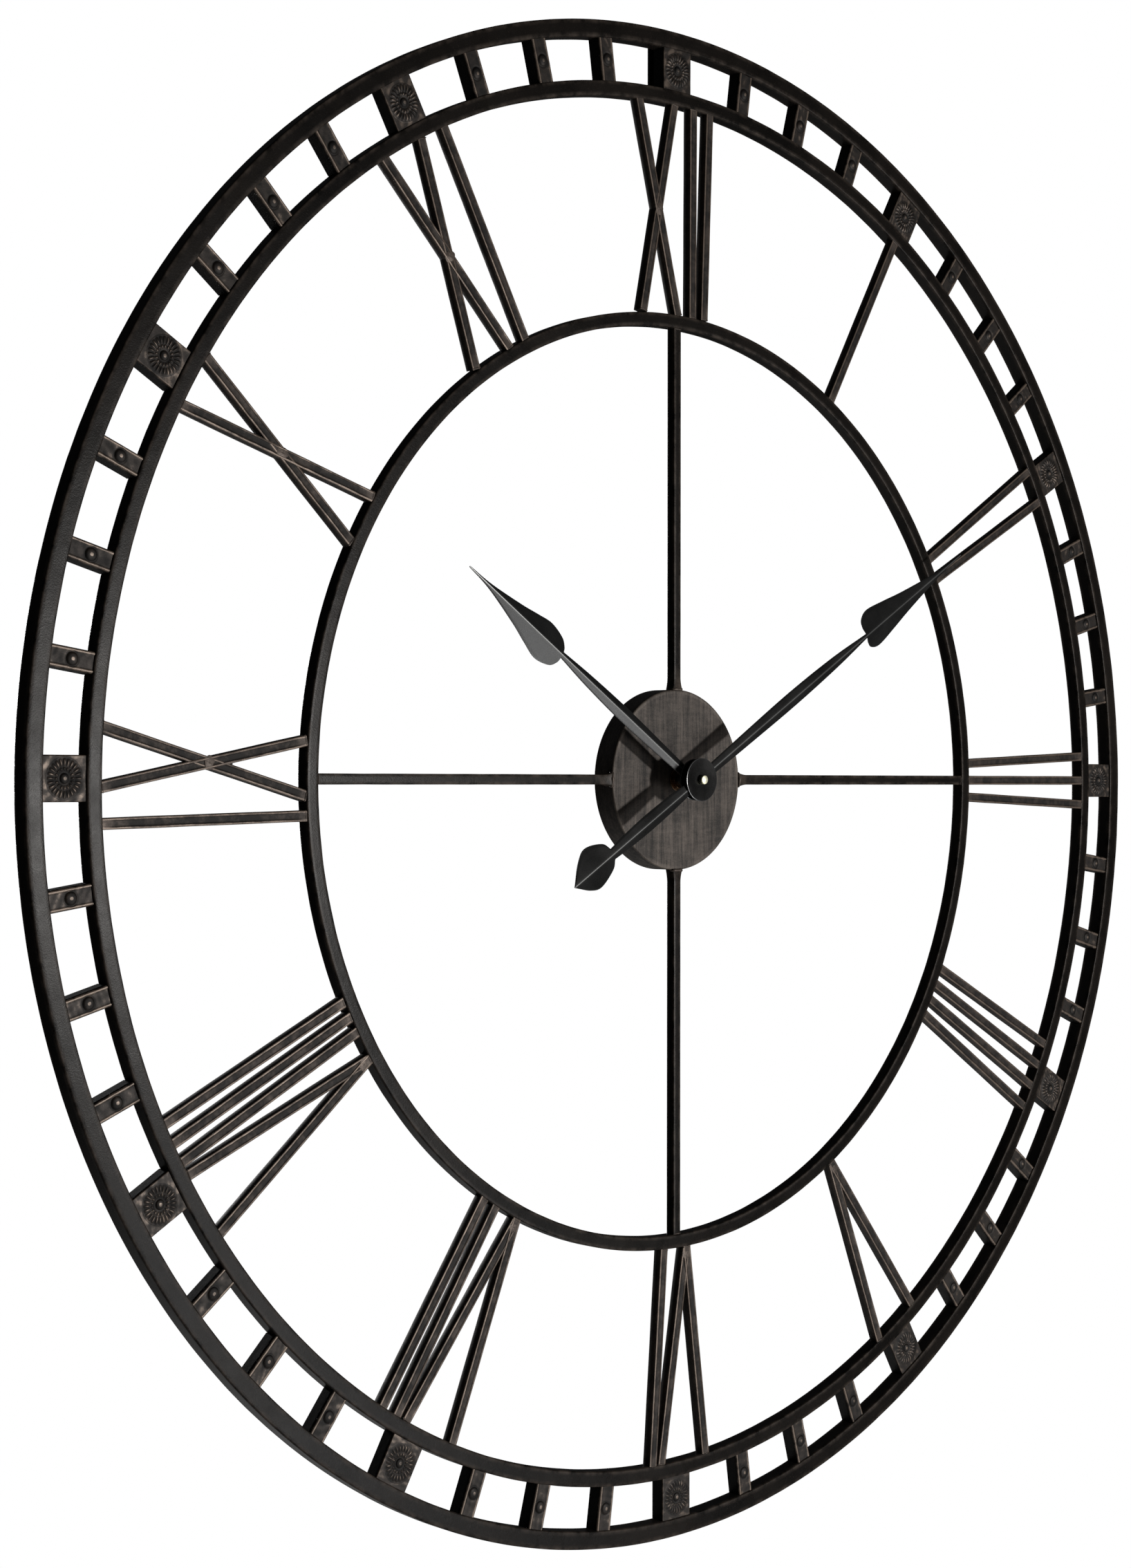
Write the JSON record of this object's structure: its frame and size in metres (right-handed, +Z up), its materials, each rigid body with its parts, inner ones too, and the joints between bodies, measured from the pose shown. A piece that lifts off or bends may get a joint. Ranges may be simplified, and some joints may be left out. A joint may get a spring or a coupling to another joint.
{
  "type": "wall clock",
  "caption": "Large round skeleton wall clock with iron rings, welded Roman numerals, embossed tiles, a hub drum and long spade hands on a battery movement.",
  "frame": {"origin": "centre of the dial on the wall plane, where the drum's open back rim rests", "axes": "+X to the right and +Z up for someone facing the dial, +Y into the wall"},
  "size_m": [1.2, 0.0515, 1.1998],
  "materials": {
    "ring_iron": "satin black powder coat with a faint brown rub",
    "spoke_iron": "satin black powder coat",
    "numeral_bronze": "dark bronze wash, rubbed lighter on the edges",
    "tile_bronze": "dark bronze wash over pressed relief",
    "hub_bronze": "dark bronze with vertical wiped streaks",
    "hanger_iron": "satin black powder coat",
    "rubber": "matt black",
    "brass": "bright turned brass",
    "case_plastic": "moulded, fine matt",
    "cell_can": "plain printed sleeve with bare ends",
    "spring_steel": "nickel plated",
    "soft_iron": "bare lamination",
    "coil_copper": "enamelled copper wire",
    "board_resin": "green solder resist",
    "wheel_acetal": "natural acetal",
    "arbor_steel": "bright steel",
    "tube_brass": "bright brass",
    "knob_plastic": "moulded grey",
    "hand_steel": "satin gunmetal black",
    "disc_steel": "satin black",
    "cap_brass": "pale polished brass"
  },
  "bodies": {
    "dial_frame": {"outer_ring": "ring_iron", "chapter_ring": "ring_iron", "inner_ring": "ring_iron", "hub_drum": "hub_bronze", "spoke_12": "spoke_iron", "spoke_03": "spoke_iron", "spoke_06": "spoke_iron", "spoke_09": "spoke_iron", "numeral_01": "numeral_bronze", "numeral_02": "numeral_bronze", "numeral_03": "numeral_bronze", "numeral_04": "numeral_bronze", "numeral_05": "numeral_bronze", "numeral_06": "numeral_bronze", "numeral_07": "numeral_bronze", "numeral_08": "numeral_bronze", "numeral_09": "numeral_bronze", "numeral_10": "numeral_bronze", "numeral_11": "numeral_bronze", "numeral_12": "numeral_bronze", "rosette_01": "tile_bronze", "rosette_02": "tile_bronze", "rosette_03": "tile_bronze", "rosette_04": "tile_bronze", "rosette_05": "tile_bronze", "rosette_06": "tile_bronze", "rosette_07": "tile_bronze", "rosette_08": "tile_bronze", "rosette_09": "tile_bronze", "rosette_10": "tile_bronze", "rosette_11": "tile_bronze", "rosette_12": "tile_bronze", "markers_12_to_3": "tile_bronze", "markers_3_to_6": "tile_bronze", "markers_6_to_9": "tile_bronze", "markers_9_to_12": "tile_bronze", "keyhole_hanger": "hanger_iron", "rubber_gasket": "rubber", "brass_washer": "brass", "bushing_nut": "brass", "movement_case": "case_plastic", "movement_cover": "case_plastic", "battery_cell": "cell_can", "battery_contacts": "spring_steel", "stator": "soft_iron", "coil": "coil_copper", "circuit_board": "board_resin"},
    "minute_assembly": {"minute_hand": "hand_steel", "minute_hand_disc": "disc_steel", "shaft_cap": "cap_brass", "centre_wheel": "arbor_steel"},
    "hour_assembly": {"hour_hand": "hand_steel", "hour_hand_disc": "disc_steel", "hour_wheel": "tube_brass"},
    "motion_work": {"minute_wheel": "wheel_acetal"},
    "time_setter": {"setting_knob": "knob_plastic"},
    "third_arbor": {"third_wheel": "wheel_acetal"},
    "seconds_arbor": {"seconds_wheel": "wheel_acetal"},
    "intermediate_arbor": {"intermediate_wheel": "wheel_acetal"},
    "motor_rotor": {"rotor": "wheel_acetal"}
  },
  "joints": [
    {"name": "minute_hand_turn", "type": "hinge", "parent": "dial_frame", "child": "minute_assembly", "pos_m": [0, -0.01, 0], "axis": [0, 1, 0], "continuous": true},
    {"name": "hour_hand_turn", "type": "hinge", "parent": "dial_frame", "child": "hour_assembly", "pos_m": [0, -0.01, 0], "axis": [0, 1, 0], "continuous": true},
    {"name": "minute_wheel_turn", "type": "hinge", "parent": "dial_frame", "child": "motion_work", "pos_m": [-0.00767, -0.01, 0.00578], "axis": [0, 1, 0], "continuous": true},
    {"name": "setting_knob_turn", "type": "hinge", "parent": "dial_frame", "child": "time_setter", "pos_m": [-0.01669, -0.01, 0.00906], "axis": [0, 1, 0], "continuous": true},
    {"name": "third_wheel_turn", "type": "hinge", "parent": "dial_frame", "child": "third_arbor", "pos_m": [0.01091, -0.01, 0.0063], "axis": [0, 1, 0], "continuous": true},
    {"name": "seconds_wheel_turn", "type": "hinge", "parent": "dial_frame", "child": "seconds_arbor", "pos_m": [0.01601, -0.01, -0.00253], "axis": [0, 1, 0], "continuous": true},
    {"name": "intermediate_wheel_turn", "type": "hinge", "parent": "dial_frame", "child": "intermediate_arbor", "pos_m": [0.00999, -0.01, -0.00922], "axis": [0, 1, 0], "continuous": true},
    {"name": "rotor_turn", "type": "hinge", "parent": "dial_frame", "child": "motor_rotor", "pos_m": [0.00285, -0.01, -0.01211], "axis": [0, 1, 0], "continuous": true}
  ],
  "couplings": [
    {"joint": "hour_hand_turn", "follows": "minute_hand_turn", "ratio": 0.083333},
    {"joint": "minute_wheel_turn", "follows": "minute_hand_turn", "ratio": -0.33333},
    {"joint": "setting_knob_turn", "follows": "minute_hand_turn", "ratio": 1},
    {"joint": "third_wheel_turn", "follows": "minute_hand_turn", "ratio": -8},
    {"joint": "seconds_wheel_turn", "follows": "minute_hand_turn", "ratio": 60},
    {"joint": "intermediate_wheel_turn", "follows": "minute_hand_turn", "ratio": -300},
    {"joint": "rotor_turn", "follows": "minute_hand_turn", "ratio": 1800}
  ]
}
